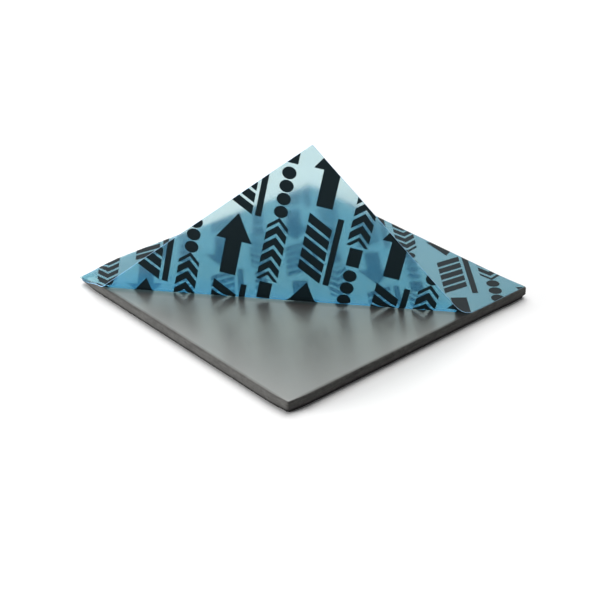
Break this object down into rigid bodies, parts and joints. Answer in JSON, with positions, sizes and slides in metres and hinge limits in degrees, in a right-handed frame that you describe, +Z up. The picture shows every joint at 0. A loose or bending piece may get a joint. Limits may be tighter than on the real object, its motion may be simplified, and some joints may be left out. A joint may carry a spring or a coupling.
{
  "type": "thermal pad sheet",
  "caption": "Square grey thermal gap pad with a translucent blue printed release liner, one corner of the liner peeled up.",
  "frame": {"origin": "centre of the pad's bottom face", "axes": "+Z up through the pad, +X and +Y along its sides; the liner's peeled corner is the one at +X -Y"},
  "size_m": [0.05, 0.05, 0.0299],
  "materials": {
    "pad_silicone": "satin, ceramic-filled silicone with a fine grain",
    "liner_film": "glossy translucent blue film with black print"
  },
  "bodies": {
    "root": {"thermal_pad": "pad_silicone", "release_liner": "liner_film"}
  },
  "joints": []
}
